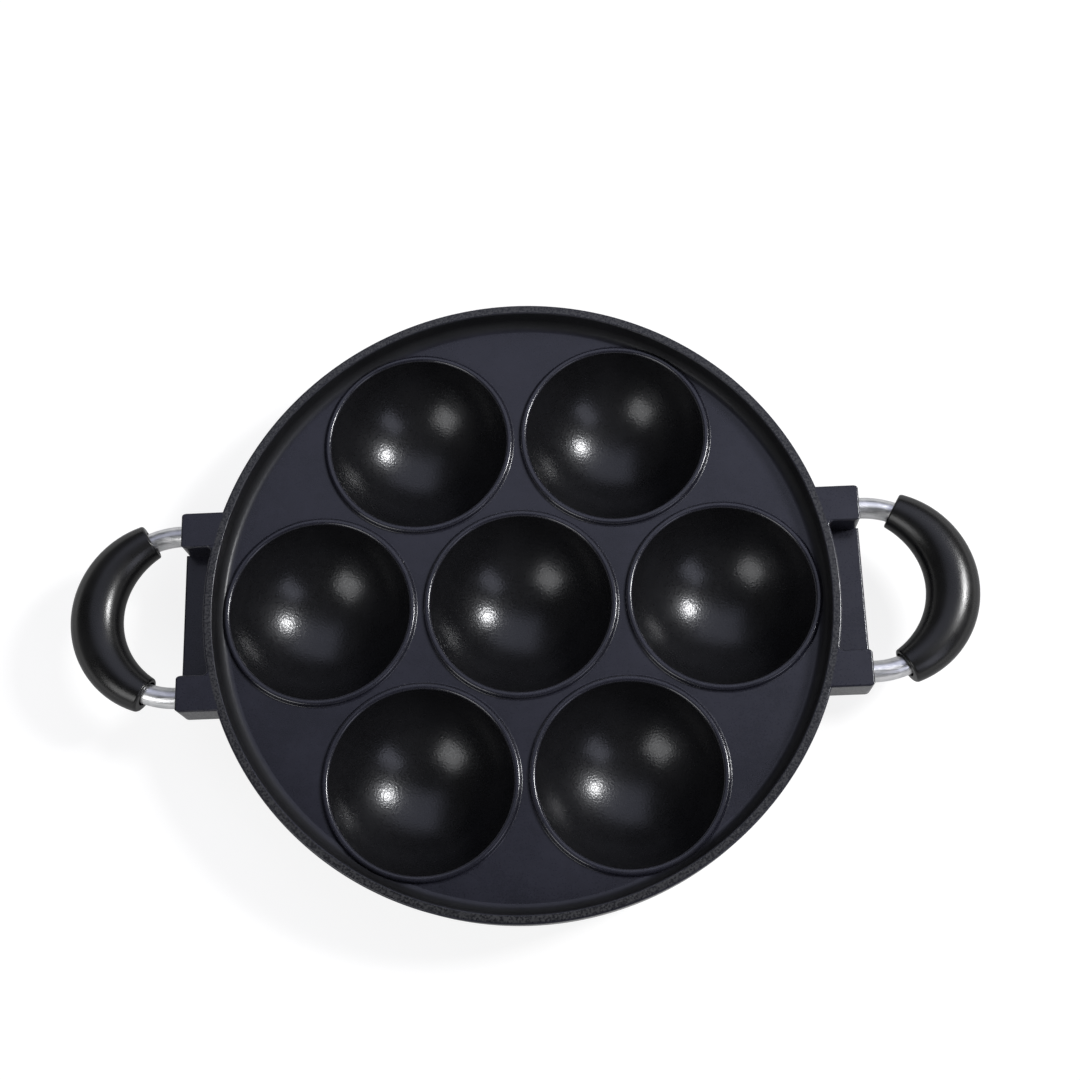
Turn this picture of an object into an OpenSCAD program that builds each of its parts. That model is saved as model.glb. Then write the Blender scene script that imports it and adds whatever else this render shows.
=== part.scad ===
// Takoyaki pan: a cast tray with seven ball cups, and a grip on a bent bar at each side.
// Origin: the middle of the footprint, on the surface that the pan stands on.
// +X runs along the handles, +Z is up.

/* [Cups] */
// Diameter of a cup's mouth, at the top of its lip
cup_d = 69.2; // [60:0.1:75]
// Depth of a cup below its lip
cup_depth = 28; // [22:0.5:33]
// Thickness of a cup's wall
cup_wall = 3; // [2.5:0.1:4]
// Smallest gap between the lips of neighbouring cups
cup_gap = 3; // [2:0.1:8]
// Width of the raised lip around a cup
lip_w = 2.3; // [2:0.1:3]
// Height of the lip above the tray's floor
lip_h = 1.8; // [1.7:0.1:2.5]
// Diameter of the flat foot under a cup
foot_d = 24; // [16:0.5:28]
// Height of the foot below the cup's round underside
foot_h = 1; // [0.6:0.1:2]

/* [Tray] */
// Gap between the outer cups' lips and the foot of the rim
rim_gap = 2.3; // [2:0.1:8]
// Width of the rim's flat top
rim_w = 3.6; // [2.5:0.1:5]
// Depth of the tray below the rim
tray_depth = 8.8; // [6:0.1:14]
// Thickness of the tray's floor
floor_t = 3; // [2.5:0.1:4]
// How far the band around the tray hangs below the floor
skirt_h = 3.7; // [3.2:0.1:10]
// Thickness of the band below the floor
skirt_w = 3.5; // [3:0.1:5]
// Lean of the band's faces, in degrees
draft = 2.5; // [0.5:0.1:3]

/* [Lugs] */
// How far a lug reaches out from the rim
lug_reach = 9.4; // [8:0.1:20]
// Width of a lug
lug_w = 14; // [12:0.1:18]
// Lean of the lug's front face, in degrees
lug_draft = 2; // [0.5:0.1:3]
// Radius of a lug's upright corners
lug_corner_r = 3; // [1.6:0.1:3.4]
// How far the web between the lugs stands out past their top front edges
web_proud = 0.7; // [0.3:0.1:2]
// Thickness of the web
web_t = 3.5; // [2.5:0.1:5]
// Radius in the corners between the lugs and the rim
pocket_r = 1.6; // [1.2:0.1:5]

/* [Handles] */
// Diameter of the handle bar
bar_d = 8; // [6:0.1:8.5]
// Distance between the two legs of a bar, centre to centre
bar_span = 63.8; // [56:0.1:76]
// Length of a leg that shows before its bend
bar_straight = 1.2; // [1:0.1:20]
// Length of a leg inside its lug
bar_insert = 12; // [9:0.1:12.5]
// Room around a leg in its lug
bar_clear = 0.1; // [0.05:0.01:0.3]
// Diameter of the pin across a leg
pin_d = 3; // [2:0.1:3.5]
// Wall of the slotted pin
pin_wall = 0.6; // [0.4:0.05:0.8]
// How far the pin reaches past the leg
pin_past = 1; // [0.5:0.1:1.5]
// How far the pin's lower end lies inside its lug
pin_recess = 0.5; // [0.2:0.1:1]
// Room around the pin
pin_clear = 0.05; // [0.03:0.01:0.2]

/* [Grips] */
// Width of the grip in its middle, seen from above
grip_mid_w = 20; // [16:0.1:24]
// Width of the grip at its ends
grip_end_w = 14; // [13.6:0.1:18]
// Thickness of the grip in its middle
grip_mid_t = 17; // [14:0.1:22]
// Thickness of the grip at its ends
grip_end_t = 13.4; // [12.5:0.1:18]
// Turn from the grip's middle to each end, in degrees
grip_turn = 60; // [45:1:66]
// Distance from the bend's centre to the point that the grip's sections turn about
grip_pivot_back = 5.7; // [0:0.1:8]
// How far the bar lies inwards of the grip's middle at its ends
grip_end_shift = 0.8; // [0:0.1:1.2]
// Rounding around the end faces
grip_edge_r = 0.8; // [0.4:0.1:1]
// Room around the bar in its grip
grip_clear = 0.2; // [0.1:0.05:0.4]
// Width of the recess around the bar at the grip's end
recess_w = 0.9; // [0.5:0.1:1.2]
// Depth of that recess, along the bar
recess_depth = 3.3; // [1:0.1:6]

/* [Edges] */
// Rounding of the casting's outer top edges
edge_r = 0.8; // [0.6:0.1:1.2]
// Rounding of the rim's inner top edge
rim_inner_r = 0.6; // [0.3:0.1:1]
// Rounding of the lip's outer top edge
lip_outer_r = 1; // [0.5:0.1:1]
// Rounding of the lip's inner top edge
lip_inner_r = 1.1; // [0.3:0.1:1.1]
// Fillet at the outer foot of a lip
lip_fillet_r = 0.7; // [0.3:0.1:0.7]
// Fillet at the foot of the rim
floor_fillet_r = 4.5; // [1:0.1:4.8]
// Fillet under the floor, against the band
skirt_fillet_r = 2; // [1:0.1:2.4]
// Rounding of the casting's bottom edges
bottom_r = 0.8; // [0.4:0.1:1.2]
// Chamfer on the bar's ends and the pins' ends
chamfer = 0.5; // [0.2:0.1:0.5]

/* [Hidden] */
$fn = 96;

// Depth by which pieces of one casting overlap, so that they join.
sink = 0.5;
// Shift that keeps a fillet from only touching the face that it runs into.
bite = 0.02;
// Length that a cutter runs on past the face that it cuts.
over = 1;
// Steps along a quarter of a rounded edge.
steps = 6;

cup_r = (pow(cup_d / 2, 2) + pow(cup_depth, 2)) / (2 * cup_depth);
lip_r = cup_d / 2 + lip_w;
lip_root_r = cup_d / 2 - lip_inner_r - over;
cup_pitch = 2 * lip_r + cup_gap;
lip_z = foot_h + cup_wall + cup_depth;
floor_z = lip_z - lip_h;
under_z = floor_z - floor_t;
rim_z = floor_z + tray_depth;
band_z = under_z - skirt_h;
band_h = rim_z - band_z;
cup_z = foot_h + cup_wall + cup_r;
foot_top_z = (cup_z - sqrt(pow(cup_r + cup_wall, 2) - pow(foot_d / 2, 2)) + foot_h + cup_wall) / 2;

tray_foot_r = cup_pitch + lip_r + rim_gap;
tray_top_r = tray_foot_r + tray_depth * tan(draft);
pan_r = tray_top_r + rim_w;
band_foot_r = pan_r - band_h * tan(draft);
skirt_r = band_foot_r - skirt_w;
root_r = (tray_foot_r + pan_r) / 2;

lug_x = pan_r + lug_reach;
lug_foot_x = lug_x + band_h * tan(lug_draft);
lug_y = bar_span / 2;
web_x = lug_x + web_proud;
web_z = band_z + web_t;
root_x = sqrt(pow(root_r, 2) - pow(lug_y + lug_w / 2, 2)) - over;

bar_z = (rim_z + band_z) / 2;
bend_x = lug_x + bar_straight;
bend_r = bar_span / 2;
leg_end_x = lug_x - bar_insert;
pin_x = leg_end_x + bar_insert / 2;
pin_top_z = bar_z + bar_d / 2 + pin_past;
pin_bottom_z = band_z + pin_recess;
pin_slot = pin_d / 4;

// Turn of the bar's bend at the grip's end face, seen from the bend's centre.
grip_end_bend = atan2(
    bar_rho(grip_turn) * sin(grip_turn),
    bar_rho(grip_turn) * cos(grip_turn) - grip_pivot_back
);
// Turn by which the grip's bore runs on past its end face.
bore_over = 12;
grip_stations = 16;
grip_sides = 28;
grip_end_steps = 3;

cup_places = concat([[0, 0]], [for (a = [0:60:300]) cup_pitch * [cos(a), sin(a)]]);

// Points on an arc, from one angle to another.
function arc(cx, cy, r, from, to, n = steps) =
    [for (i = [0:n]) let (a = from + (to - from) * i / n) [cx + r * cos(a), cy + r * sin(a)]];

// Distance from the grip's pivot to the bar's centre line, at a turn about that pivot.
function bar_rho(turn) =
    grip_pivot_back * cos(turn) + sqrt(pow(bend_r, 2) - pow(grip_pivot_back * sin(turn), 2));

// Half the width of a cup's round inside at a height.
function cup_half_width(z) = sqrt(pow(cup_r, 2) - pow(cup_z - z, 2));

module at_cups() {
    for (p = cup_places) {
        translate([p.x, p.y, 0]) children();
    }
}

module at_lugs() {
    for (side = [0, 1]) {
        for (end = [0, 1]) {
            mirror([side, 0, 0]) mirror([0, end, 0]) children();
        }
    }
}

// The floor, the rim and the band below them, as one turned section.
module tray() {
    rotate_extrude() polygon(concat(
        [[0, under_z]],
        arc(skirt_r - skirt_fillet_r, under_z - skirt_fillet_r, skirt_fillet_r, 90, 0),
        arc(skirt_r + bottom_r, band_z + bottom_r, bottom_r, 180, 270),
        arc(band_foot_r - bottom_r, band_z + bottom_r, bottom_r, 270, 360),
        arc(pan_r - edge_r, rim_z - edge_r, edge_r, 0, 90),
        arc(tray_top_r + rim_inner_r, rim_z - rim_inner_r, rim_inner_r, 90, 180),
        arc(tray_foot_r - floor_fillet_r, floor_z + floor_fillet_r, floor_fillet_r, 0, -90),
        [[0, floor_z]]
    ));
}

// The round shell under a cup, with its flat foot.
module cup_shell() {
    intersection() {
        translate([0, 0, cup_z]) sphere(r = cup_r + cup_wall);
        cylinder(r = cup_r + cup_wall + over, h = floor_z - sink);
    }
    cylinder(d = foot_d, h = foot_top_z);
}

// The raised lip, wider inwards than the mouth, which the cup's hollow then cuts.
module lip() {
    rotate_extrude() polygon(concat(
        [[lip_root_r, floor_z - sink], [lip_r + lip_fillet_r, floor_z - sink]],
        arc(lip_r + lip_fillet_r, floor_z + lip_fillet_r - bite, lip_fillet_r, 270, 180),
        arc(lip_r - lip_outer_r, lip_z - lip_outer_r, lip_outer_r, 0, 90),
        [[lip_root_r, lip_z]]
    ));
}

// The hollow of a cup, and the rounding where it meets the lip's top.
module cup_hollow() {
    flare_from = 165;
    flare_z = lip_z - lip_inner_r;
    flare_r = cup_half_width(flare_z) + lip_inner_r;
    translate([0, 0, cup_z]) sphere(r = cup_r);
    rotate_extrude() polygon(concat(
        [[lip_root_r - over, lip_z + over]],
        [[lip_root_r - over, flare_z + bite + lip_inner_r * sin(flare_from)]],
        arc(flare_r, flare_z + bite, lip_inner_r, flare_from, 90),
        [[flare_r, lip_z + over]]
    ));
}

// The outlines of a lug from the side, from the front and from above.
module lug_side_outline() {
    polygon(concat(
        [[root_x, band_z]],
        arc(lug_foot_x - bottom_r, band_z + bottom_r, bottom_r, 270, 360),
        arc(lug_x - edge_r, rim_z - edge_r, edge_r, 0, 90),
        [[root_x, rim_z]]
    ));
}

module lug_front_outline() {
    half_w = lug_w / 2;
    polygon(concat(
        arc(half_w - bottom_r, band_z + bottom_r, bottom_r, 270, 360),
        arc(half_w - edge_r, rim_z - edge_r, edge_r, 0, 90),
        arc(edge_r - half_w, rim_z - edge_r, edge_r, 90, 180),
        arc(bottom_r - half_w, band_z + bottom_r, bottom_r, 180, 270)
    ));
}

module lug_plan_outline() {
    half_w = lug_w / 2 + bite;
    corner_x = lug_foot_x + bite - lug_corner_r;
    polygon(concat(
        [[root_x - over, -half_w]],
        arc(corner_x, lug_corner_r - half_w, lug_corner_r, -90, 0),
        arc(corner_x, half_w - lug_corner_r, lug_corner_r, 0, 90),
        [[root_x - over, half_w]]
    ));
}

// One lug: a block rounded on its top, front and bottom edges, rooted inside the band.
module lug() {
    difference() {
        intersection() {
            translate([0, lug_y + lug_w, 0]) rotate([90, 0, 0])
                linear_extrude(height = 2 * lug_w) lug_side_outline();
            translate([root_x - over, lug_y, 0]) rotate([90, 0, 90])
                linear_extrude(height = lug_foot_x - root_x + 2 * over) lug_front_outline();
            translate([0, lug_y, band_z - over])
                linear_extrude(height = band_h + 2 * over) lug_plan_outline();
        }
        translate([0, 0, band_z - over]) cylinder(r = root_r, h = band_h + 2 * over);
    }
}

// The curved corner between a lug's inner face and the rim. It leans with the band, and its top edge is
// rounded like theirs.
module pocket_corner() {
    wall_y = lug_y - lug_w / 2;
    centre_y = wall_y - pocket_r;
    centre_x = sqrt(pow(pan_r + pocket_r, 2) - pow(centre_y, 2));
    lean = atan(tan(draft) * (pan_r + pocket_r) / centre_x);
    touch = root_r / (pan_r + pocket_r);
    height = rim_z - web_z + sink;
    difference() {
        translate([0, 0, web_z - sink]) linear_extrude(height = height) polygon([
            [centre_x, centre_y],
            [centre_x, wall_y + sink],
            [sqrt(pow(root_r, 2) - pow(wall_y + sink, 2)), wall_y + sink],
            [centre_x * touch, centre_y * touch]
        ]);
        translate([centre_x, centre_y, rim_z - edge_r]) {
            rotate([0, lean, 0]) translate([0, 0, -height])
                cylinder(r = pocket_r + bite, h = height + edge_r / 4);
            rotate_extrude() polygon(concat(
                [[0, edge_r + over], [0, 0]],
                arc(pocket_r + bite + edge_r, 0, edge_r, 180, 90),
                [[pocket_r + bite + edge_r, edge_r + over]]
            ));
        }
    }
}

// The low plate that joins the two lugs of one side.
module web() {
    length = bar_span - lug_w + 2 * sink;
    difference() {
        translate([0, length / 2, 0]) rotate([90, 0, 0]) linear_extrude(height = length) polygon(concat(
            [[root_x, band_z]],
            arc(web_x - bottom_r, band_z + bottom_r, bottom_r, 270, 360),
            arc(web_x - edge_r, web_z - edge_r, edge_r, 0, 90),
            [[root_x, web_z]]
        ));
        translate([0, 0, band_z - over]) cylinder(r = root_r, h = web_t + 2 * over);
    }
}

// The blind hole for a bar's leg, and the pin's hole across it from below.
module leg_hole() {
    translate([leg_end_x - sink, lug_y, bar_z]) rotate([0, 90, 0])
        cylinder(d = bar_d + 2 * bar_clear, h = bar_insert + lug_reach);
    pin_hole();
}

module pin_hole() {
    depth = pin_top_z + sink - band_z;
    translate([pin_x, lug_y, band_z - over]) cylinder(d = pin_d + 2 * pin_clear, h = depth + over);
}

module pan_body() {
    color([0.13, 0.13, 0.16]) difference() {
        union() {
            tray();
            at_cups() cup_shell();
            at_cups() lip();
            at_lugs() lug();
            at_lugs() pocket_corner();
            web();
            mirror([1, 0, 0]) web();
        }
        at_cups() cup_hollow();
        at_lugs() leg_hole();
    }
}

// A bar on the +X side: two legs and a half ring.
module bar() {
    leg = bend_x - leg_end_x;
    color([0.8, 0.8, 0.8]) difference() {
        union() {
            translate([bend_x, 0, bar_z]) rotate([0, 0, -90]) rotate_extrude(angle = 180)
                translate([bend_r, 0]) circle(d = bar_d);
            for (end = [-1, 1]) {
                translate([leg_end_x, end * bend_r, bar_z]) rotate([0, 90, 0]) rotate_extrude() polygon([
                    [0, 0],
                    [bar_d / 2 - chamfer, 0],
                    [bar_d / 2, chamfer],
                    [bar_d / 2, leg],
                    [0, leg]
                ]);
            }
        }
        for (end = [0, 1]) {
            mirror([0, end, 0]) pin_hole();
        }
    }
}

module bar_right() {
    bar();
}

module bar_left() {
    mirror([1, 0, 0]) bar();
}

// Stations along the grip, each a turn and an inset: the insets round the two end faces.
function end_turn(a) = grip_turn - grip_edge_r * (1 - sin(a)) * 180 / PI / bar_rho(grip_turn);
function end_inset(a) = grip_edge_r * (1 - cos(a));
function grip_station_list() = concat(
    [for (i = [grip_end_steps:-1:1]) let (a = 90 * i / grip_end_steps) [-end_turn(a), end_inset(a)]],
    [for (i = [0:grip_stations]) [end_turn(0) * (2 * i / grip_stations - 1), 0]],
    [for (i = [1:grip_end_steps]) let (a = 90 * i / grip_end_steps) [end_turn(a), end_inset(a)]]
);

// A size that changes from the grip's middle to its ends with the square of the turn.
function along(mid, end, turn) = mid + (end - mid) * pow(turn / grip_turn, 2);

// One oval ring of points at a station.
function grip_ring(station) =
    let (
        turn = station[0],
        rho = bar_rho(turn) + along(0, grip_end_shift, turn),
        half_w = along(grip_mid_w, grip_end_w, turn) / 2 - station[1],
        half_t = along(grip_mid_t, grip_end_t, turn) / 2 - station[1]
    )
    [for (j = [0:grip_sides - 1]) let (a = 360 * j / grip_sides, reach = rho + half_w * cos(a))
        [reach * cos(turn), reach * sin(turn), half_t * sin(a)]];

module grip_form() {
    stations = grip_station_list();
    last = len(stations) - 1;
    points = [for (s = stations) each grip_ring(s)];
    sides = [for (i = [0:last - 1], j = [0:grip_sides - 1])
        let (a = i * grip_sides + j, b = i * grip_sides + (j + 1) % grip_sides)
        each [[a, a + grip_sides, b + grip_sides], [a, b + grip_sides, b]]];
    start_face = [for (j = [0:grip_sides - 1]) j];
    end_face = [for (j = [grip_sides - 1:-1:0]) last * grip_sides + j];
    polyhedron(points, concat(sides, [start_face, end_face]));
}

// A piece of ring around the bar's bend, for the bore and the recesses.
module bend_ring(r, from, to) {
    translate([bend_x, 0, bar_z]) rotate([0, 0, from]) rotate_extrude(angle = to - from)
        translate([bend_r, 0]) circle(r = r);
}

module grip() {
    bore_end = grip_end_bend + bore_over;
    recess_start = grip_end_bend - recess_depth / bend_r * 180 / PI;
    color([0.08, 0.08, 0.08]) difference() {
        translate([bend_x - grip_pivot_back, 0, bar_z]) grip_form();
        bend_ring(bar_d / 2 + grip_clear, -bore_end, bore_end);
        bend_ring(bar_d / 2 + recess_w, recess_start, bore_end);
        bend_ring(bar_d / 2 + recess_w, -bore_end, -recess_start);
    }
}

module grip_right() {
    grip();
}

module grip_left() {
    mirror([1, 0, 0]) grip();
}

// A slotted spring pin.
module pin() {
    length = pin_top_z - pin_bottom_z;
    inner_r = pin_d / 2 - pin_wall;
    translate([pin_x, lug_y, pin_bottom_z]) difference() {
        rotate_extrude() polygon([
            [inner_r, 0],
            [pin_d / 2 - chamfer / 2, 0],
            [pin_d / 2, chamfer],
            [pin_d / 2, length - chamfer],
            [pin_d / 2 - chamfer / 2, length],
            [inner_r, length]
        ]);
        translate([0, -pin_slot / 2, -over]) cube([pin_d, pin_slot, length + 2 * over]);
    }
}

module retaining_pins() {
    color([0.6, 0.6, 0.6]) at_lugs() pin();
}

pan_body();
bar_left();
bar_right();
grip_left();
grip_right();
retaining_pins();
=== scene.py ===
import math

import bmesh
import bpy
import numpy as np
from mathutils import Matrix, Vector
from mathutils.geometry import delaunay_2d_cdt


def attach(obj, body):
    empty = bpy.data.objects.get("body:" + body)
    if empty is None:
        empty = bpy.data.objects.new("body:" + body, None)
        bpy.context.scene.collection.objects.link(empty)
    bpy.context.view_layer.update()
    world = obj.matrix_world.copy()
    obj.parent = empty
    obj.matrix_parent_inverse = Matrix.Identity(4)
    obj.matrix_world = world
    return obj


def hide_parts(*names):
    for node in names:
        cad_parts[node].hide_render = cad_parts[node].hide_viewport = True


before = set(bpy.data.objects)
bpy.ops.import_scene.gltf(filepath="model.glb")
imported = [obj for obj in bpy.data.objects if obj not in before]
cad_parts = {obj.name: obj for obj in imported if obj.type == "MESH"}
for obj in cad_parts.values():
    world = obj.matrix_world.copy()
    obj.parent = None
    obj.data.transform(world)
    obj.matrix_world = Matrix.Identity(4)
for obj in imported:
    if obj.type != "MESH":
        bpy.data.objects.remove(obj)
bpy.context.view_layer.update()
scene = bpy.context.scene

# Sizes of the pan, in millimetres, with the feet on z = 0 and +X along the handles.
CUP_R = 35.376
CUP_Z = 39.376
CUP_WALL = 3.0
CUP_PITCH = 76.8
LIP_Z = 32.0
LIP_R = 36.9
LIP_OUTER = 1.0
LIP_INNER = 1.1
LIP_FILLET = 0.7
FLOOR_Z = 30.2
UNDER_Z = 27.2
FLOOR_FILLET = 4.5
RIM_Z = 39.0
BAND_Z = 23.5
TRAY_FOOT_R = 116.0
TRAY_TOP_R = 116.384
PAN_R = 119.984
BAND_FOOT_R = 119.307
SKIRT_R = 115.807
SKIRT_FILLET = 1.65
RIM_INNER = 0.6
EDGE_R = 0.8
BOTTOM_R = 0.8
FOOT_R = 12.0
DRAFT = 2.5

LUG_Y = 31.9
LUG_W = 14.0
LUG_X = 129.384
LUG_FOOT_X = 129.925
LUG_CORNER = 3.0
WEB_X = 130.084
WEB_Z = 27.0
POCKET_R = 1.6
ROOT_R = 117.992
LEG_HOLE_R = 4.1
LEG_END_X = 117.384
PIN_X = 123.384
PIN_HOLE_R = 1.55
PIN_HOLE_TOP = 36.75

BAR_Z = 31.25
BAR_R = 4.0
BEND_X = 130.584
BEND_R = 31.9

GRIP_PIVOT_BACK = 5.7
GRIP_TURN = 60.0
GRIP_END_SHIFT = 0.8
GRIP_MID_W = 20.0
GRIP_END_W = 14.0
GRIP_MID_T = 17.0
GRIP_END_T = 13.4
GRIP_EDGE = 0.8
GRIP_BORE_R = 4.2
GRIP_RECESS_R = 4.9
GRIP_RECESS_DEPTH = 3.3
GRIP_RECESS_EDGE = 0.2
GRIP_RECESS_LEAD = 0.35
# Turns in radians that keep the recess's edge and foot crisp.
GRIP_EYE_TURN = 0.0005
GRIP_FOOT_TURN = 0.01

# The turned foot under each cup: its fillet and edge, its grooves and its centre mark.
FOOT_FILLET = 0.8
FOOT_EDGE = 0.5
FOOT_GROOVES = (9.6, 7.3, 5.0)
GROOVE_HALF_TOP = 0.45
GROOVE_HALF_FLOOR = 0.2
GROOVE_DEPTH = 0.3
FOOT_MARK = [(2.0, 0.0), (1.6, 0.5)]
FOOT_MARK_TIP = 0.7

# Room around a cup's underside: up to another cup's, and the strip left before the skirt.
CUP_ROOM = 37.75
SKIRT_ROOM = 0.05
# Where the lugs and webs start, hidden in the rim.
EAR_ROOT_X = 109.0

MM = 0.001
# Segments of a small fillet, the rim, a cup, a cup's underside, a leg's hole and a pin's hole.
STEPS = 8
RIM_COUNT = 384
CUP_COUNT = 128
UNDERSIDE_COUNT = 96
LEG_HOLE_COUNT = 96
PIN_HOLE_COUNT = 48
# Flat strips beside fillets for clean shading, and how far a drafted wall leans over one.
STRIP = 0.2
INNER_STRIP, INNER_LEAN = 0.3, 0.01
OUTER_STRIP, OUTER_LEAN = 0.4, 0.02
# Depth by which joined solids overlap, and the shift that keeps two faces from only touching.
SINK = 0.5
BITE = 0.02

CUP_PLACES = [(0.0, 0.0)]
for k in range(6):
    a = math.radians(60 * k)
    CUP_PLACES.append((CUP_PITCH * math.cos(a), CUP_PITCH * math.sin(a)))


def arc(cx, cy, r, start, end, steps):
    turns = [math.radians(start + (end - start) * i / steps) for i in range(steps + 1)]
    return [(cx + r * math.cos(t), cy + r * math.sin(t)) for t in turns]


class Skin:
    """Points in millimetres and faces, gathered ring by ring."""

    def __init__(self):
        self.points = []
        self.faces = []

    def add(self, x, y, z):
        self.points.append((x, y, z))
        return len(self.points) - 1

    def ring(self, r, z, count, centre=(0.0, 0.0)):
        x, y = centre
        turns = [2 * math.pi * i / count for i in range(count)]
        return [self.add(x + r * math.cos(t), y + r * math.sin(t), z) for t in turns]

    def bridge(self, a, b):
        count = len(a)
        for i in range(count):
            j = (i + 1) % count
            self.faces.append((a[i], a[j], b[j], b[i]))

    def fan(self, ring, tip):
        for i in range(len(ring)):
            self.faces.append((ring[i], ring[(i + 1) % len(ring)], tip))

    def turned(self, profile, count, centre=(0.0, 0.0)):
        """Rings through a profile of (r, z) points; the first and the last ring come back."""
        rings = [self.ring(r, z, count, centre) for r, z in profile]
        for a, b in zip(rings, rings[1:]):
            self.bridge(a, b)
        return rings[0], rings[-1]

    def fill(self, outer, holes):
        """Triangles over the flat area inside the outer loop and outside the holes."""
        loops = [outer] + holes
        index = [i for loop in loops for i in loop]
        flat = [Vector(self.points[i][:2]) for i in index]
        edges = []
        base = 0
        for loop in loops:
            edges += [(base + i, base + (i + 1) % len(loop)) for i in range(len(loop))]
            base += len(loop)
        points, _, triangles, origins, _, _ = delaunay_2d_cdt(flat, edges, [], 1, 1e-7)
        names = []
        for point, origin in zip(points, origins):
            if origin:
                names.append(index[origin[0]])
            else:
                names.append(self.add(point.x, point.y, self.points[outer[0]][2]))
        shapes = [np.array([self.points[i][:2] for i in loop]) for loop in holes]
        for tri in triangles:
            mid = sum((points[i] for i in tri), Vector((0, 0))) / 3
            if not any(inside(shape, mid) for shape in shapes):
                self.faces.append(tuple(names[i] for i in tri))

    def mesh(self, name):
        data = bpy.data.meshes.new(name)
        points = [(x / 1000, y / 1000, z / 1000) for x, y, z in self.points]
        data.from_pydata(points, [], self.faces)
        bm = bmesh.new()
        bm.from_mesh(data)
        bmesh.ops.recalc_face_normals(bm, faces=bm.faces)
        bm.to_mesh(data)
        bm.free()
        return data


def inside(shape, p):
    """Whether a point lies inside a closed outline, by the number of edges beside it."""
    x0, y0 = shape[:, 0], shape[:, 1]
    x1, y1 = np.roll(x0, -1), np.roll(y0, -1)
    crosses = (y0 > p[1]) != (y1 > p[1])
    with np.errstate(divide="ignore", invalid="ignore"):
        at = x0 + (p[1] - y0) / (y1 - y0) * (x1 - x0)
    return bool(np.count_nonzero(crosses & (p[0] < at)) % 2)


def new_object(name, data):
    obj = bpy.data.objects.new(name, data)
    scene.collection.objects.link(obj)
    return obj


def apply_modifiers(obj):
    graph = bpy.context.evaluated_depsgraph_get()
    data = bpy.data.meshes.new_from_object(obj.evaluated_get(graph), depsgraph=graph)
    obj.modifiers.clear()
    old = obj.data
    obj.data = data
    bpy.data.meshes.remove(old)


def combine(obj, other, operation):
    """Joins a closed mesh to another, cuts it from it, or keeps what they share."""
    mod = obj.modifiers.new("combine", "BOOLEAN")
    mod.object = other
    mod.operation = operation
    mod.solver = "MANIFOLD"
    apply_modifiers(obj)
    data = other.data
    bpy.data.objects.remove(other)
    bpy.data.meshes.remove(data)
    return obj


def prism(name, outline, low, high):
    """A closed prism: outline points in its own plane, low and high along the third axis."""
    skin = Skin()
    a = [skin.add(x, y, low) for x, y in outline]
    b = [skin.add(x, y, high) for x, y in outline]
    skin.bridge(a, b)
    skin.faces += [tuple(reversed(a)), tuple(b)]
    return new_object(name, skin.mesh(name))


def solid_of_turn(name, profile, count):
    """A closed turned solid from a profile that starts and ends on the axis."""
    skin = Skin()
    first = skin.add(0, 0, profile[0][1])
    last = skin.add(0, 0, profile[-1][1])
    a, b = skin.turned(profile[1:-1], count)
    skin.fan(a, first)
    skin.fan(b, last)
    return new_object(name, skin.mesh(name))


def place(obj, matrix):
    obj.data.transform(matrix)
    if matrix.determinant() < 0:
        obj.data.flip_normals()
    return obj


def copy_of(obj, name):
    return new_object(name, obj.data.copy())


def cup_profile():
    """From a lip's foot over the lip and down the inside, to just before the lowest point."""
    centre_z = LIP_Z - LIP_INNER
    lean = math.asin((CUP_Z - centre_z) / (CUP_R + LIP_INNER))
    centre_r = (CUP_R + LIP_INNER) * math.cos(lean)
    lean = math.degrees(lean)
    points = arc(LIP_R + LIP_FILLET, FLOOR_Z + LIP_FILLET, LIP_FILLET, 270, 180, 5)
    points += arc(LIP_R - LIP_OUTER, LIP_Z - LIP_OUTER, LIP_OUTER, 0, 90, STEPS)
    points += arc(centre_r, centre_z, LIP_INNER, 90, 180 - lean, STEPS)
    rows = 26
    for i in range(1, rows):
        t = math.radians(lean + (90 - lean) * i / rows)
        points.append((CUP_R * math.cos(t), CUP_Z - CUP_R * math.sin(t)))
    return points


def shell_fillet(reach):
    """Radius of the fillet from a cup's outside to the flat underside that ends at a reach."""
    outer = CUP_R + CUP_WALL
    low, high = 0.02, 2.0
    for _ in range(30):
        f = (low + high) / 2
        r = math.sqrt((outer + f) ** 2 - (CUP_Z - UNDER_Z + f) ** 2)
        low, high = (f, high) if r < reach else (low, f)
    return low


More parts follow.
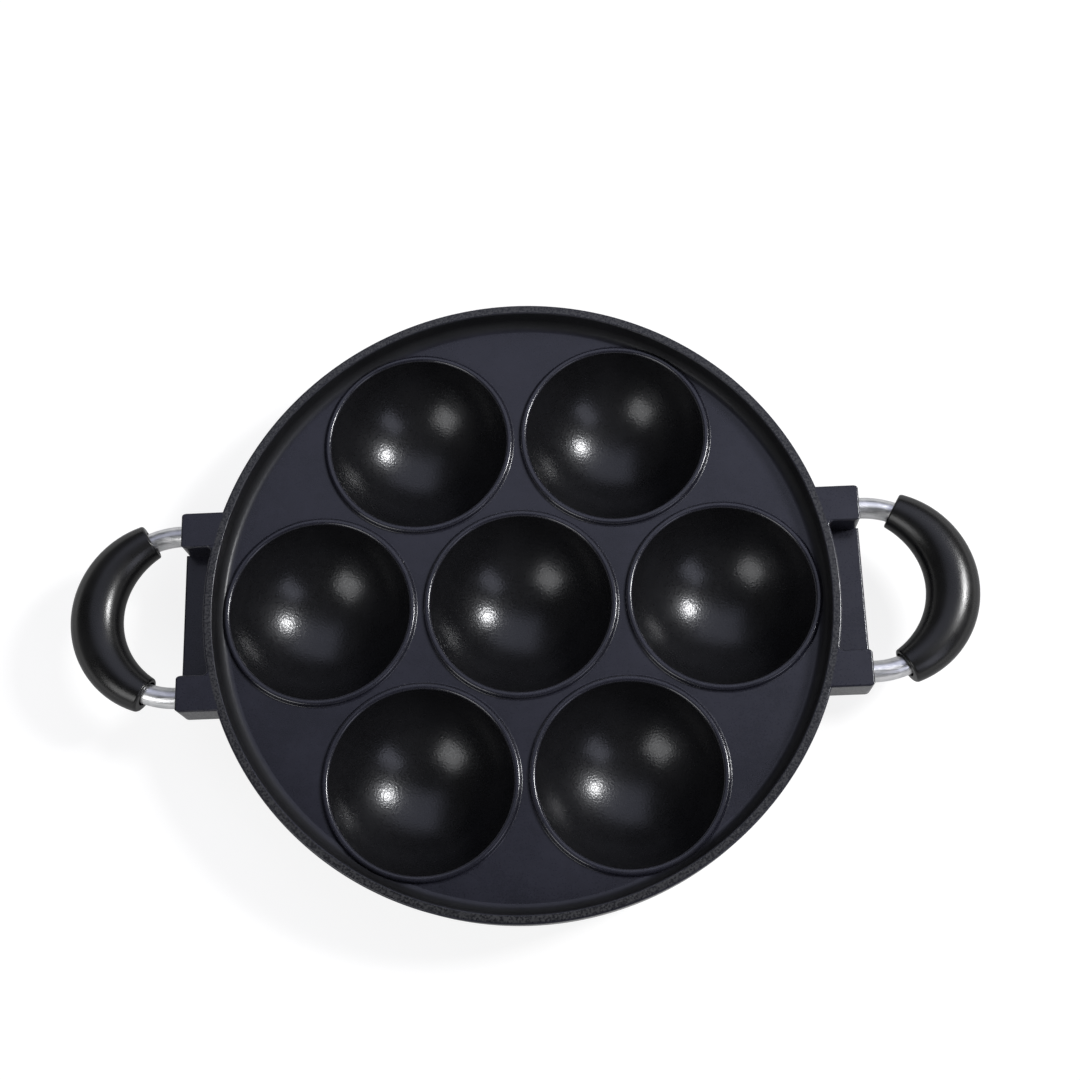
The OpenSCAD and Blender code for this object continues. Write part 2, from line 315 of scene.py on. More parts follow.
def cup_underside(skin, centre, count):
    """A cup's round outside with its turned foot; the loop where it meets the floor comes back."""
    outer = CUP_R + CUP_WALL
    distance = math.hypot(*centre)
    edge_r = SKIRT_R - SKIRT_FILLET - SKIRT_ROOM
    rows = 12
    low_r = FOOT_R + FOOT_FILLET
    low_z = CUP_Z - math.sqrt((outer + FOOT_FILLET) ** 2 - low_r ** 2)
    low_lean = math.asin((CUP_Z - low_z) / (outer + FOOT_FILLET))
    columns = []
    for i in range(count):
        turn = 2 * math.pi * i / count
        dx, dy = math.cos(turn), math.sin(turn)
        along = centre[0] * dx + centre[1] * dy
        room = -along + math.sqrt(edge_r ** 2 - distance ** 2 + along ** 2)
        f = shell_fillet(min(room, CUP_ROOM))
        z = UNDER_Z - f
        r = math.sqrt((outer + f) ** 2 - (CUP_Z - z) ** 2)
        lean = math.asin((CUP_Z - z) / (outer + f))
        column = arc(r, z, f, 90, 180 - math.degrees(lean), 5)
        for k in range(1, rows):
            t = lean + (low_lean - lean) * k / rows
            column.append((outer * math.cos(t), CUP_Z - outer * math.sin(t)))
        column += arc(low_r, low_z, FOOT_FILLET, 180 - math.degrees(low_lean), 180, 4)
        columns.append([skin.add(centre[0] + p * dx, centre[1] + p * dy, q) for p, q in column])
    rings = [[column[k] for column in columns] for k in range(len(columns[0]))]
    for a, b in zip(rings, rings[1:]):
        skin.bridge(a, b)
    foot = arc(FOOT_R - FOOT_EDGE, FOOT_EDGE, FOOT_EDGE, 0, -90, 4)
    for r in FOOT_GROOVES:
        foot += [(r + GROOVE_HALF_TOP, 0.0), (r + GROOVE_HALF_FLOOR, GROOVE_DEPTH)]
        foot += [(r - GROOVE_HALF_FLOOR, GROOVE_DEPTH), (r - GROOVE_HALF_TOP, 0.0)]
    foot += FOOT_MARK
    top, bottom = skin.turned(foot, count, centre)
    skin.bridge(rings[-1], top)
    skin.fan(bottom, skin.add(centre[0], centre[1], FOOT_MARK_TIP))
    return rings[0]


def dish():
    """The tray with its cups, rim and band, as one closed mesh."""
    skin = Skin()
    profile = cup_profile()
    holes = []
    for centre in CUP_PLACES:
        edge = skin.ring(LIP_R + LIP_FILLET + STRIP, FLOOR_Z, CUP_COUNT, centre)
        first, last = skin.turned(profile, CUP_COUNT, centre)
        skin.bridge(edge, first)
        skin.fan(last, skin.add(centre[0], centre[1], CUP_Z - CUP_R))
        holes.append(edge)
    rim = [(TRAY_FOOT_R - SINK, FLOOR_Z), (TRAY_FOOT_R, FLOOR_Z + SINK)]
    rim += [(TRAY_FOOT_R, FLOOR_Z + FLOOR_FILLET)]
    rim += [(TRAY_TOP_R - INNER_LEAN, RIM_Z - RIM_INNER - INNER_STRIP)]
    rim += arc(TRAY_TOP_R + RIM_INNER, RIM_Z - RIM_INNER, RIM_INNER, 180, 90, 6)
    rim += [(TRAY_TOP_R + RIM_INNER + STRIP, RIM_Z), (PAN_R - EDGE_R - STRIP, RIM_Z)]
    rim += arc(PAN_R - EDGE_R, RIM_Z - EDGE_R, EDGE_R, 90, 0, 6)
    rim += [(PAN_R - OUTER_LEAN, RIM_Z - EDGE_R - OUTER_STRIP)]
    rim += [(BAND_FOOT_R + OUTER_LEAN, BAND_Z + BOTTOM_R + OUTER_STRIP)]
    rim += arc(BAND_FOOT_R - BOTTOM_R, BAND_Z + BOTTOM_R, BOTTOM_R, 0, -90, 5)
    rim += [(BAND_FOOT_R - BOTTOM_R - STRIP, BAND_Z), (SKIRT_R + BOTTOM_R + STRIP, BAND_Z)]
    rim += arc(SKIRT_R + BOTTOM_R, BAND_Z + BOTTOM_R, BOTTOM_R, 270, 180, 5)
    rim += arc(SKIRT_R - SKIRT_FILLET, UNDER_Z - SKIRT_FILLET, SKIRT_FILLET, 0, 90, 6)
    inner, outer = skin.turned(rim, RIM_COUNT)
    skin.fill(inner, holes)
    skin.fill(outer, [cup_underside(skin, centre, UNDERSIDE_COUNT) for centre in CUP_PLACES])
    body = new_object("pan", skin.mesh("pan"))
    return combine(body, floor_fillet(), "UNION")


def floor_fillet():
    """The wide fillet at the rim's foot, a closed ring that bites into the floor and the wall."""
    skin = Skin()
    centre_r = TRAY_FOOT_R - FLOOR_FILLET + BITE
    centre_z = FLOOR_Z + FLOOR_FILLET - BITE
    section = arc(centre_r, centre_z, FLOOR_FILLET, -90, 0, 12)
    section += [(TRAY_FOOT_R + SINK, centre_z), (TRAY_FOOT_R + SINK, FLOOR_Z - SINK)]
    section += [(centre_r, FLOOR_Z - SINK)]
    first, last = skin.turned(section, RIM_COUNT)
    skin.bridge(last, first)
    return new_object("floor_fillet", skin.mesh("floor_fillet"))


# From a prism's own axes to one that runs along x, and to one that runs along y.
TO_FRONT = Matrix(((0, 0, 1, 0), (1, 0, 0, 0), (0, 1, 0, 0), (0, 0, 0, 1)))
TO_SIDE = Matrix(((1, 0, 0, 0), (0, 0, -1, 0), (0, 1, 0, 0), (0, 0, 0, 1)))


def root_cylinder(name, low, high):
    """What a lug or web must not reach: the inside of the rim."""
    return solid_of_turn(name, [(0, low), (ROOT_R, low), (ROOT_R, high), (0, high)], RIM_COUNT)


def lug():
    """One lug, from three outlines, rooted inside the band."""
    half_w = LUG_W / 2
    side = [(EAR_ROOT_X, BAND_Z)]
    side += arc(LUG_FOOT_X - BOTTOM_R, BAND_Z + BOTTOM_R, BOTTOM_R, 270, 360, STEPS)
    side += arc(LUG_X - EDGE_R, RIM_Z - EDGE_R, EDGE_R, 0, 90, STEPS)
    side += [(EAR_ROOT_X, RIM_Z)]
    front = arc(half_w - BOTTOM_R, BAND_Z + BOTTOM_R, BOTTOM_R, 270, 360, STEPS)
    front += arc(half_w - EDGE_R, RIM_Z - EDGE_R, EDGE_R, 0, 90, STEPS)
    front += arc(EDGE_R - half_w, RIM_Z - EDGE_R, EDGE_R, 90, 180, STEPS)
    front += arc(BOTTOM_R - half_w, BAND_Z + BOTTOM_R, BOTTOM_R, 180, 270, STEPS)
    wide, tip = half_w + BITE, LUG_FOOT_X + BITE - LUG_CORNER
    plan = [(EAR_ROOT_X - 1, -wide)]
    plan += arc(tip, LUG_CORNER - wide, LUG_CORNER, -90, 0, STEPS)
    plan += arc(tip, wide - LUG_CORNER, LUG_CORNER, 0, 90, STEPS)
    plan += [(EAR_ROOT_X - 1, wide)]
    body = place(prism("lug", side, -LUG_W, LUG_W), TO_SIDE)
    across = prism("lug_front", front, EAR_ROOT_X - 1, LUG_FOOT_X + 1)
    combine(body, place(across, TO_FRONT), "INTERSECT")
    combine(body, prism("lug_plan", plan, BAND_Z - 1, RIM_Z + 1), "INTERSECT")
    place(body, Matrix.Translation((0, LUG_Y * MM, 0)))
    return combine(body, root_cylinder("root", BAND_Z - 1, RIM_Z + 1), "DIFFERENCE")


def pocket_corner():
    """The curved corner between a lug's inner face and the rim."""
    wall_y = LUG_Y - LUG_W / 2
    centre_y = wall_y - POCKET_R
    centre_x = math.sqrt((PAN_R + POCKET_R) ** 2 - centre_y ** 2)
    lean = math.atan(math.tan(math.radians(DRAFT)) * (PAN_R + POCKET_R) / centre_x)
    touch = ROOT_R / (PAN_R + POCKET_R)
    height = RIM_Z - WEB_Z + SINK
    outline = [
        (centre_x, centre_y),
        (centre_x, wall_y + SINK),
        (math.sqrt(ROOT_R ** 2 - (wall_y + SINK) ** 2), wall_y + SINK),
        (centre_x * touch, centre_y * touch),
    ]
    body = prism("corner", outline, WEB_Z - SINK, RIM_Z)
    r = POCKET_R + BITE
    to_place = Matrix.Translation((centre_x * MM, centre_y * MM, (RIM_Z - EDGE_R) * MM))
    count = RIM_COUNT // 2
    shaft = [(0, -height), (r, -height), (r, EDGE_R / 4), (0, EDGE_R / 4)]
    leaning = to_place @ Matrix.Rotation(lean, 4, "Y")
    combine(body, place(solid_of_turn("shaft", shaft, count), leaning), "DIFFERENCE")
    flare = [(0, 0)] + arc(r + EDGE_R, 0, EDGE_R, 180, 90, STEPS)
    flare += [(r + EDGE_R, EDGE_R + 1), (0, EDGE_R + 1)]
    combine(body, place(solid_of_turn("flare", flare, count), to_place), "DIFFERENCE")
    return body


def web():
    """The low plate between the two lugs of one side."""
    length = 2 * LUG_Y - LUG_W + 1
    outline = [(EAR_ROOT_X, BAND_Z)]
    outline += arc(WEB_X - BOTTOM_R, BAND_Z + BOTTOM_R, BOTTOM_R, 270, 360, STEPS)
    outline += arc(WEB_X - EDGE_R, WEB_Z - EDGE_R, EDGE_R, 0, 90, STEPS)
    outline += [(EAR_ROOT_X, WEB_Z)]
    body = place(prism("web", outline, -length / 2, length / 2), TO_SIDE)
    return combine(body, root_cylinder("root", BAND_Z - 1, WEB_Z + 1), "DIFFERENCE")


def ear():
    """What stands out of the band on the +X side: two lugs, two pocket corners and the web."""
    flip = Matrix.Scale(-1, 4, (0, 1, 0))
    body = web()
    for piece in (lug(), pocket_corner()):
        other = place(copy_of(piece, "other"), flip)
        combine(body, piece, "UNION")
        combine(body, other, "UNION")
    return body


def cut_hole(body, profile, count, matrix):
    combine(body, place(solid_of_turn("hole", profile, count), matrix), "DIFFERENCE")


def pan():
    """The whole casting, with the holes for the bars' legs and for the pins."""
    body = dish()
    right = ear()
    left = place(copy_of(right, "ear_left"), Matrix.Scale(-1, 4, (1, 0, 0)))
    combine(body, right, "UNION")
    combine(body, left, "UNION")
    depth = LUG_FOOT_X + 1 - LEG_END_X
    leg = [(0, -0.5), (LEG_HOLE_R, -0.5), (LEG_HOLE_R, depth), (0, depth)]
    pin = [(0, BAND_Z - 1), (PIN_HOLE_R, BAND_Z - 1)]
    pin += [(PIN_HOLE_R, PIN_HOLE_TOP), (0, PIN_HOLE_TOP)]
    for sx in (1, -1):
        for sy in (1, -1):
            turn = Matrix.Rotation(math.radians(90 * sx), 4, "Y")
            at = Matrix.Translation((sx * LEG_END_X * MM, sy * LUG_Y * MM, BAR_Z * MM))
            cut_hole(body, leg, LEG_HOLE_COUNT, at @ turn)
            at = Matrix.Translation((sx * PIN_X * MM, sy * LUG_Y * MM, 0))
            cut_hole(body, pin, PIN_HOLE_COUNT, at)
    body.name = "pan"
    return body


def smooth(obj, angle):
    """Smooth shading up to an angle, with the flat faces kept flat."""
    data = obj.data
    data.shade_smooth()
    bm = bmesh.new()
    bm.from_mesh(data)
    limit = math.radians(angle)
    for edge in bm.edges:
        edge.smooth = len(edge.link_faces) == 2 and edge.calc_face_angle(0) < limit
    bm.to_mesh(data)
    bm.free()
    mod = obj.modifiers.new("normals", "WEIGHTED_NORMAL")
    mod.mode = "FACE_AREA_WITH_ANGLE"
    mod.weight = 50
    mod.keep_sharp = True
    apply_modifiers(obj)


# The grips follow the bar's bend: their sections stand on lines from one point inside it.

def bar_rho(turn, r=BEND_R):
    """Distance from the sections' pivot to a circle about the bend's centre."""
    aside = GRIP_PIVOT_BACK * math.sin(turn)
    return GRIP_PIVOT_BACK * math.cos(turn) + math.sqrt(r ** 2 - aside ** 2)


def bent_ring(count, centre_x, turn, reach, half_t):
    """A ring across the bend at a turn; reach(cosine) is each point's distance from centre_x."""
    ring = []
    for j in range(count):
        a = 2 * math.pi * j / count
        r = reach(math.cos(a))
        z = BAR_Z + half_t * math.sin(a)
        ring.append((centre_x + r * math.cos(turn), r * math.sin(turn), z))
    return ring


def grip(name, side):
    """A grip: a swelling bent form with flat ends, a recess at each end and a bore for the bar."""
    skin = Skin()
    count, stations, end_steps, bore_steps = 96, 96, 8, 40
    last = math.radians(GRIP_TURN)
    pivot_x = BEND_X - GRIP_PIVOT_BACK

    def section(turn, inset):
        share = (turn / last) ** 2
        rho = bar_rho(turn) + GRIP_END_SHIFT * share
        half_w = (GRIP_MID_W + (GRIP_END_W - GRIP_MID_W) * share) / 2 - inset
        half_t = (GRIP_MID_T + (GRIP_END_T - GRIP_MID_T) * share) / 2 - inset
        return bent_ring(count, pivot_x, turn, lambda c: rho + half_w * c, half_t)

    def eye(turn, r):
        """The ring where a tube around the bar meets the flat end."""
        return bent_ring(count, pivot_x, turn, lambda c: bar_rho(turn, BEND_R + r * c), r)

    def tube(bend, r):
        return bent_ring(count, BEND_X, bend, lambda c: BEND_R + r * c, r)

    edge = [90 * i / end_steps for i in range(end_steps, 0, -1)]
    step = GRIP_EDGE / bar_rho(last)

    def end_turn(a):
        return last - step * (1 - math.sin(math.radians(a)))

    def end_inset(a):
        return GRIP_EDGE * (1 - math.cos(math.radians(a)))

    rings = [section(-end_turn(a), end_inset(a)) for a in edge]
    start = end_turn(0)
    rings += [section(start * (2 * i / stations - 1), 0) for i in range(stations + 1)]
    rings += [section(end_turn(a), end_inset(a)) for a in reversed(edge)]
    rho = bar_rho(last)
    eye_bend = math.atan2(rho * math.sin(last), rho * math.cos(last) - GRIP_PIVOT_BACK)
    floor_bend = eye_bend - GRIP_RECESS_DEPTH / BEND_R
    lead_r = GRIP_RECESS_R + (GRIP_RECESS_R - GRIP_BORE_R) * GRIP_RECESS_LEAD
    foot_r = GRIP_RECESS_R - GRIP_RECESS_EDGE
    rings += [eye(last, lead_r), eye(last - GRIP_EYE_TURN, GRIP_RECESS_R)]
    rings += [tube(floor_bend + GRIP_FOOT_TURN, GRIP_RECESS_R), tube(floor_bend, foot_r)]
    for i in range(bore_steps + 1):
        rings.append(tube(floor_bend * (1 - 2 * i / bore_steps), GRIP_BORE_R))
    rings += [tube(-floor_bend, foot_r), tube(-floor_bend - GRIP_FOOT_TURN, GRIP_RECESS_R)]
    rings += [eye(-last + GRIP_EYE_TURN, GRIP_RECESS_R), eye(-last, lead_r)]
    named = [[skin.add(side * x, y, z) for x, y, z in ring] for ring in rings]
    for a, b in zip(named, named[1:] + named[:1]):
        skin.bridge(a, b)
    return new_object(name, skin.mesh(name))


def bar(name, side):
    """A bent bar: two legs with chamfered ends and a half ring between."""
    skin = Skin()
    count, leg_steps, bend_steps, chamfer = 64, 8, 96, 0.5
    stops = [(LEG_END_X, BAR_R - chamfer), (LEG_END_X + chamfer, BAR_R)]
    for i in range(1, leg_steps):
        x = LEG_END_X + chamfer + (BEND_X - LEG_END_X - chamfer) * i / leg_steps
        stops.append((x, BAR_R))

    def leg(x, r, y):
        sign = 1 if y > 0 else -1
        ring = []
        for j in range(count):
            a = 2 * math.pi * j / count
            ring.append((x, y + sign * r * math.cos(a), BAR_Z + r * math.sin(a)))
        return ring

    def bend(turn):
        return bent_ring(count, BEND_X, turn, lambda c: BEND_R + BAR_R * c, BAR_R)

    rings = [leg(x, r, -BEND_R) for x, r in stops]
    rings += [bend(math.pi * (i / bend_steps - 0.5)) for i in range(bend_steps + 1)]
    rings += [leg(x, r, BEND_R) for x, r in reversed(stops)]
    named = [[skin.add(side * x, y, z) for x, y, z in ring] for ring in rings]
    for a, b in zip(named, named[1:]):
        skin.bridge(a, b)
    for ring, y in ((named[0], -BEND_R), (named[-1], BEND_R)):
        skin.fan(ring, skin.add(side * LEG_END_X, y, BAR_Z))
    return new_object(name, skin.mesh(name))


# Materials.

RANGE_KEYS = ("From Min", "From Max", "To Min", "To Max")


class Tree:
    """A material's nodes, with short calls for the few kinds used here."""

    def __init__(self, name):
        self.material = bpy.data.materials.new(name)
        self.material.use_nodes = True
        self.nodes = self.material.node_tree.nodes
        self.links = self.material.node_tree.links
        self.shader = self.nodes["Principled BSDF"]
        self.place = self.nodes.new("ShaderNodeTexCoord").outputs["Object"]

    def node(self, kind, **settings):
        made = self.nodes.new(kind)
        for key, value in settings.items():
            setattr(made, key, value)
        return made

    def join(self, source, target):
        self.links.new(source, target)

    def noise(self, scale, detail=2.0, rough=0.5, stretch=None):
        made = self.node("ShaderNodeTexNoise")
        made.inputs["Scale"].default_value = scale
        made.inputs["Detail"].default_value = detail
        made.inputs["Roughness"].default_value = rough
        source = self.place
        if stretch:
            mapping = self.node("ShaderNodeMapping")
            mapping.inputs["Scale"].default_value = stretch
            self.join(source, mapping.inputs["Vector"])
            source = mapping.outputs["Vector"]
        self.join(source, made.inputs["Vector"])
        return made.outputs["Fac"]

    def remap(self, source, low, high, to_low, to_high):
        made = self.node("ShaderNodeMapRange", interpolation_type="SMOOTHSTEP")
        self.join(source, made.inputs["Value"])
        for key, value in zip(RANGE_KEYS, (low, high, to_low, to_high)):
            made.inputs[key].default_value = value
        return made.outputs["Result"]

    def rise(self, source, low, high):
        return self.remap(source, low, high, 0.0, 1.0)

    def fall(self, source, low, high):
        return self.remap(source, low, high, 1.0, 0.0)

    def math(self, operation, a, b):
        made = self.node("ShaderNodeMath", operation=operation)
        for socket, value in zip(made.inputs, (a, b)):
            if isinstance(value, (int, float)):
                socket.default_value = value
            else:
                self.join(value, socket)
        return made.outputs["Value"]

    def add(self, a, b):
        return self.math("ADD", a, b)

    def times(self, a, b):
        return self.math("MULTIPLY", a, b)

    def ramp(self, source, stops):
        made = self.node("ShaderNodeValToRGB")
        made.color_ramp.interpolation = "EASE"
        for i, (at, colour) in enumerate(stops):
            stop = made.color_ramp.elements[i] if i < 2 else made.color_ramp.elements.new(at)
            stop.position = at
            stop.color = (*colour, 1)
        self.join(source, made.inputs["Fac"])
        return made.outputs["Color"]

    def mix(self, share, first, second):
        made = self.node("ShaderNodeMix", data_type="RGBA")
        for source, socket in ((share, 0), (first, 6), (second, 7)):
            self.join(source, made.inputs[socket])
        return made.outputs[2]

    def bump(self, layers, coat=False):
        """Heights in metres, one on the other."""
        normal = None
        for height, distance, strength in layers:
            made = self.node("ShaderNodeBump")
            made.inputs["Strength"].default_value = strength
            made.inputs["Distance"].default_value = distance
            self.join(height, made.inputs["Height"])
            if normal:
                self.join(normal, made.inputs["Normal"])
            normal = made.outputs["Normal"]
        self.join(normal, self.shader.inputs["Normal"])
        if coat:
            self.join(normal, self.shader.inputs["Coat Normal"])


def coating():
    """Dark non-stick coating: fine grain, slow changes of tone and gloss; painted shade darkens its
    colour in the cups, below the floor's height and on the rim's inner wall.
    """
    t = Tree("coated_casting")
    slow = t.noise(38, 3, 0.55)
    grain = t.noise(1250, 1, 0.5)
    cast = t.noise(420, 2, 0.5)
    split = t.node("ShaderNodeSeparateXYZ")
    t.join(t.place, split.inputs[0])
    height = split.outputs["Z"]
    flat_place = t.node("ShaderNodeCombineXYZ")
    t.join(split.outputs["X"], flat_place.inputs["X"])
    t.join(split.outputs["Y"], flat_place.inputs["Y"])

    def distance(x, y):
        made = t.node("ShaderNodeVectorMath", operation="DISTANCE")
        t.join(flat_place.outputs[0], made.inputs[0])
        made.inputs[1].default_value = (x * MM, y * MM, 0)
        return made.outputs["Value"]

    radius = distance(0, 0)
    nearest = radius
    for x, y in CUP_PLACES[1:]:
        nearest = t.math("MINIMUM", nearest, distance(x, y))

    # Shares from 0 to 1, by heights and distances in metres.
    within = t.fall(radius, 0.1162, 0.1170)
    below_floor = t.times(within, t.fall(height, 0.0292, 0.0297))
    above_floor = t.rise(height, 0.0300, 0.0303)
    # Inside the cups and below the floor's height: the colour is darkened there as painted shade,
    # and the grain's relief is stronger.
    hollow_shade_and_grain = t.math("MAXIMUM", below_floor, t.fall(nearest, 0.0343, 0.0347))
    lip = t.times(above_floor, t.fall(nearest, 0.0369, 0.0372))
    # The rim's inner wall and its fillet: painted shade darkens the colour there, and the surface
    # is duller with less coat.
    rim_wall_shade_and_matte = t.times(within, t.times(above_floor, t.rise(radius, 0.1118, 0.1148)))
    rim_ring = t.times(t.rise(radius, 0.1167, 0.1171), t.fall(radius, 0.1190, 0.1195))
    rim_top = t.times(t.rise(height, 0.0384, 0.0388), rim_ring)

    tone = t.add(t.times(slow, 0.7), t.times(cast, 0.3))
    # A darker colour painted as shade, laid over the plate colour in the cups, below the floor and
    # on the rim's inner wall.
    painted_shade = t.ramp(tone, [(0.3, (0.0056, 0.0056, 0.0064)), (0.7, (0.0096, 0.0096, 0.0108))])
    plate = t.ramp(tone, [(0.3, (0.0092, 0.0093, 0.0150)), (0.7, (0.0150, 0.0151, 0.0236))])
    rubbed = t.ramp(grain, [(0.35, (0.0080, 0.0080, 0.0090)), (0.65, (0.0380, 0.0380, 0.0390))])
    upper = t.mix(rim_top, plate, rubbed)
    t.join(t.mix(t.math("MAXIMUM", hollow_shade_and_grain, rim_wall_shade_and_matte), upper, painted_shade), t.shader.inputs["Base Color"])

    gloss = t.remap(t.add(t.times(slow, 0.6), grain), 0.55, 1.05, 0.25, 0.38)
    duller = t.math("SUBTRACT", t.times(rim_wall_shade_and_matte, 0.28), t.times(lip, 0.08))
    t.join(t.add(gloss, duller), t.shader.inputs["Roughness"])
    t.shader.inputs["IOR"].default_value = 1.5
    t.shader.inputs["Specular IOR Level"].default_value = 0.28
    t.shader.inputs["Specular Tint"].default_value = (0.93, 0.95, 1.0, 1)
    shine = t.math("SUBTRACT", t.add(t.times(lip, 0.3), 0.42), t.times(rim_wall_shade_and_matte, 0.42))
    t.join(shine, t.shader.inputs["Coat Weight"])
    t.shader.inputs["Coat Roughness"].default_value = 0.19
    rougher = t.math("SUBTRACT", t.times(hollow_shade_and_grain, 0.95), t.times(lip, 0.09))
    relief = t.times(grain, t.add(rougher, 0.12))
    t.bump([(cast, 0.00003, 0.4), (relief, 0.00006, 1.0)], coat=True)
    return t.material


def moulded():
    """Black heat-resistant plastic of the grips: satin, with a very fine grain."""
    t = Tree("grip")
    slow = t.noise(60, 3, 0.5)
    grain = t.noise(1900, 2, 0.6)
    t.join(t.ramp(slow, [(0.3, (0.0030, 0.0030, 0.0032)), (0.7, (0.0060, 0.0060, 0.0064))]),
           t.shader.inputs["Base Color"])
    rough = t.remap(t.add(slow, t.times(grain, 0.4)), 0.45, 0.95, 0.25, 0.33)
    t.join(rough, t.shader.inputs["Roughness"])
    t.shader.inputs["IOR"].default_value = 1.5
    t.bump([(t.noise(260, 2, 0.5), 0.00005, 0.35), (grain, 0.00003, 0.5)])
    return t.material


def chrome():
    """Bright plated steel with faint lines along the bar and a few soft marks."""
    t = Tree("handle_bar")
    lines = t.noise(1, 2, 0.5, (60, 1800, 1800))
    marks = t.noise(240, 3, 0.6)
    t.join(t.ramp(marks, [(0.35, (0.74, 0.75, 0.76)), (0.65, (0.88, 0.88, 0.89))]),
           t.shader.inputs["Base Color"])
    rough = t.remap(t.add(lines, t.times(marks, 0.6)), 0.5, 1.1, 0.28, 0.46)
    t.join(rough, t.shader.inputs["Roughness"])
    t.shader.inputs["Metallic"].default_value = 1
    t.bump([(lines, 0.00002, 0.35), (t.noise(180, 2, 0.5), 0.0001, 0.15)])
    return t.material


def spring_steel():
    """Plain rolled spring steel of the pins."""
    t = Tree("pin")
    lines = t.noise(1, 2, 0.5, (1400, 1400, 120))
    t.join(t.ramp(lines, [(0.3, (0.30, 0.30, 0.31)), (0.7, (0.44, 0.44, 0.45))]),
           t.shader.inputs["Base Color"])
    t.join(t.remap(lines, 0.3, 0.7, 0.3, 0.45), t.shader.inputs["Roughness"])
    t.shader.inputs["Metallic"].default_value = 1
    t.bump([(lines, 0.00002, 0.4)])
    return t.material


coated = coating()
plastic = moulded()
plated = chrome()

casting = pan()
smooth(casting, angle=34)
casting.data.materials.clear()
casting.data.materials.append(coated)
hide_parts("pan_body")
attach(casting, "root")

for side, word in ((1, "right"), (-1, "left")):
    piece = grip("grip_skin_" + word, side)
    smooth(piece, angle=34)
    piece.data.materials.append(plastic)
    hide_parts("grip_" + word)
    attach(piece, "root")
    piece = bar("bar_skin_" + word, side)
    smooth(piece, angle=30)
    piece.data.materials.append(plated)
    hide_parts("bar_" + word)
    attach(piece, "root")

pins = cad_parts["retaining_pins"]
pins.data.materials.clear()
pins.data.materials.append(spring_steel())


def floor_material():
    """White to the camera, with the pan's soft shadow; near the pan the glow seen in reflections is
    dimmed as a painted shadow; plain white far out.
    """
    t = Tree("floor")
    t.nodes.remove(t.shader)
    path = t.node("ShaderNodeLightPath")
    by_camera = path.outputs["Is Camera Ray"]
    mirrored = t.math("MAXIMUM", path.outputs["Is Glossy Ray"], path.outputs["Is Transmission Ray"])
    seen = t.math("MAXIMUM", by_camera, mirrored)
    length = t.node("ShaderNodeVectorMath", operation="LENGTH")
    t.join(t.place, length.inputs[0])
    far = t.rise(length.outputs["Value"], 0.35, 1.1)
    diffuse = t.node("ShaderNodeBsdfDiffuse")
    diffuse.inputs["Color"].default_value = (0.24, 0.24, 0.24, 1)
    glow = t.node("ShaderNodeEmission")
    glow.inputs["Color"].default_value = (1, 1, 1, 1)
    # Near the pan, reflections see a dimmer glow: a painted shadow of the pan.
    near_glow_with_painted_shade = t.add(t.times(by_camera, 0.84), t.times(mirrored, 0.3))
    t.join(near_glow_with_painted_shade, glow.inputs["Strength"])
    near_mix = t.node("ShaderNodeAddShader")
    t.join(diffuse.outputs[0], near_mix.inputs[0])
    t.join(glow.outputs[0], near_mix.inputs[1])
    white = t.node("ShaderNodeEmission")
    white.inputs["Color"].default_value = (1, 1, 1, 1)
    t.join(seen, white.inputs["Strength"])
    mix = t.node("ShaderNodeMixShader")
    t.join(far, mix.inputs[0])
    t.join(near_mix.outputs[0], mix.inputs[1])
    t.join(white.outputs[0], mix.inputs[2])
    t.join(mix.outputs[0], t.nodes["Material Output"].inputs["Surface"])
    return t.material


# Millimetres; the small drop keeps the feet's flats clear of the floor.
FLOOR_HALF = 9000
FLOOR_DROP = 0.05
floor_skin = Skin()
for x, y in ((-1, -1), (1, -1), (1, 1), (-1, 1)):
    floor_skin.add(x * FLOOR_HALF, y * FLOOR_HALF, -FLOOR_DROP)
floor_skin.faces.append((0, 1, 2, 3))
floor_data = floor_skin.mesh("floor")
floor_data.materials.append(floor_material())
floor = new_object("floor", floor_data)

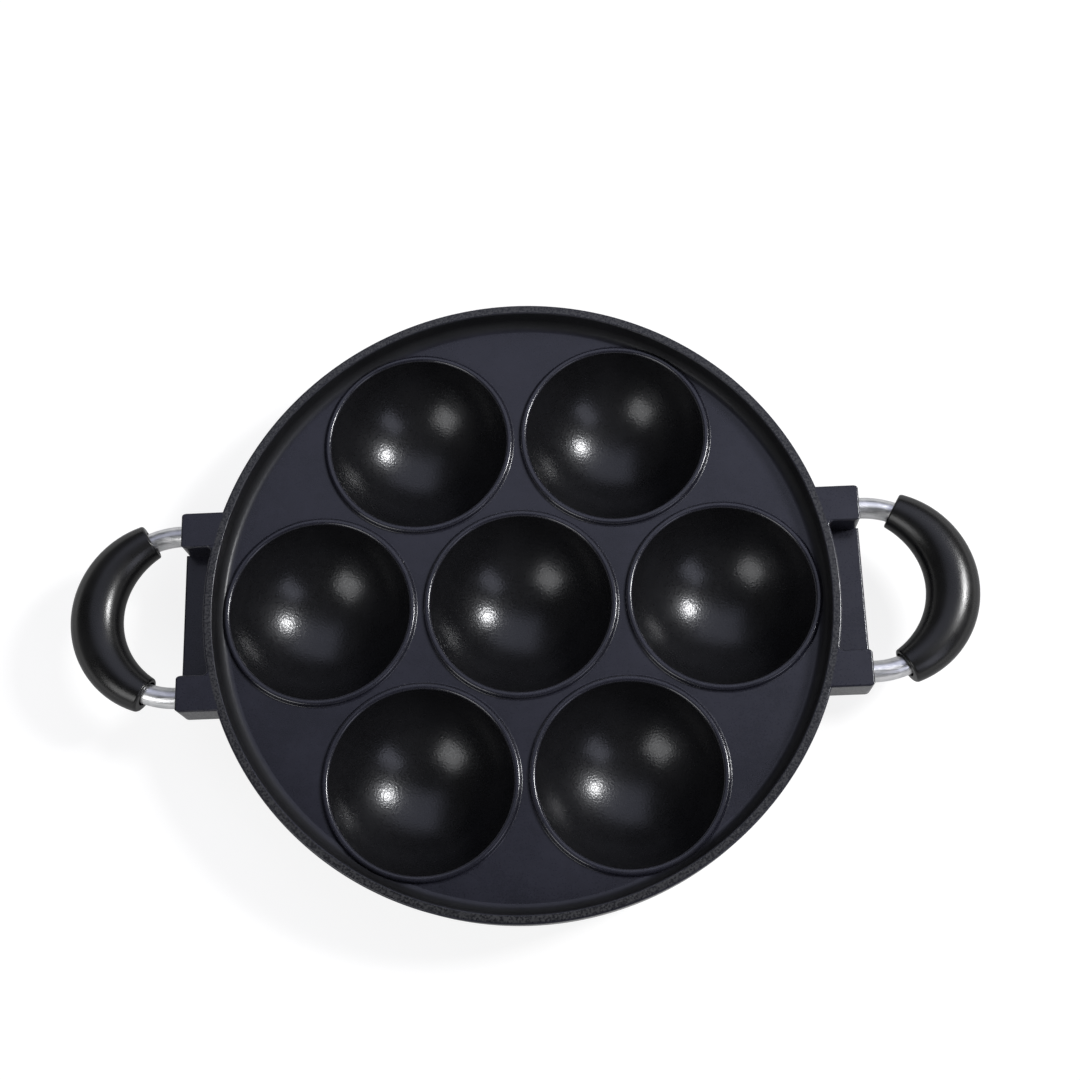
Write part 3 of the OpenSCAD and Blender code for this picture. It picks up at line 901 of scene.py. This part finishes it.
# The world: pale up to a little above the horizon, dim above it.
world = bpy.data.worlds.new("studio")
scene.world = world
world.use_nodes = True
wn, wl = world.node_tree.nodes, world.node_tree.links
coords = wn.new("ShaderNodeTexCoord")
split = wn.new("ShaderNodeSeparateXYZ")
wl.new(coords.outputs["Generated"], split.inputs[0])
fade = wn.new("ShaderNodeMapRange")
fade.interpolation_type = "SMOOTHSTEP"
wl.new(split.outputs["Z"], fade.inputs["Value"])
for key, value in zip(RANGE_KEYS, (0.05, 0.30, 1.0, 0.06)):
    fade.inputs[key].default_value = value
background = wn["Background"]
background.inputs["Color"].default_value = (1, 1, 1, 1)
wl.new(fade.outputs["Result"], background.inputs["Strength"])


AIM_HEIGHT = 0.03


def lamp(name, direction, distance, size, radiance, colour=(1, 1, 1)):
    """A rectangular soft lamp that faces the pan; radiance is how bright its face looks."""
    data = bpy.data.lights.new(name, "AREA")
    data.shape = "RECTANGLE"
    data.size, data.size_y = size
    data.energy = radiance * math.pi * size[0] * size[1]
    data.color = colour
    obj = new_object(name, data)
    way = Vector(direction).normalized()
    obj.location = way * distance + Vector((0, 0, AIM_HEIGHT))
    obj.rotation_euler = way.to_track_quat("Z", "Y").to_euler()


lamp("key", (0.69, 0.175, 0.70), 2.0, (0.36, 0.36), 82)
lamp("softbox", (-0.57, -0.54, 0.62), 1.8, (0.86, 0.82), 3.65)
lamp("side_glow", (0.60, -0.515, 0.61), 2.0, (0.6, 1.05), 1.75, (0.92, 0.94, 1.12))
lamp("ceiling", (0.12, 0.50, 0.86), 4.0, (4.4, 4.2), 0.38, (0.86, 0.89, 1.12))
lamp("ceiling_middle", (0.12, 0.52, 0.84), 3.9, (3.0, 2.7), 0.38, (0.86, 0.89, 1.12))

# The camera stands where the photograph was taken from.
camera_data = bpy.data.cameras.new("camera")
camera_data.sensor_width = 36
camera_data.lens = 55.09
camera_data.clip_start = 0.01
camera_data.clip_end = 60
camera = new_object("camera", camera_data)
right = Vector((0.99834, -0.02808, -0.05023))
up = Vector((0.04181, 0.95373, 0.29777))
back = Vector((0.03954, -0.29937, 0.95332))
turn = Matrix((right, up, back)).transposed().to_4x4()
camera.matrix_world = Matrix.Translation((0.03311, -0.16520, 0.63554)) @ turn
scene.camera = camera

scene.view_settings.view_transform = "Standard"
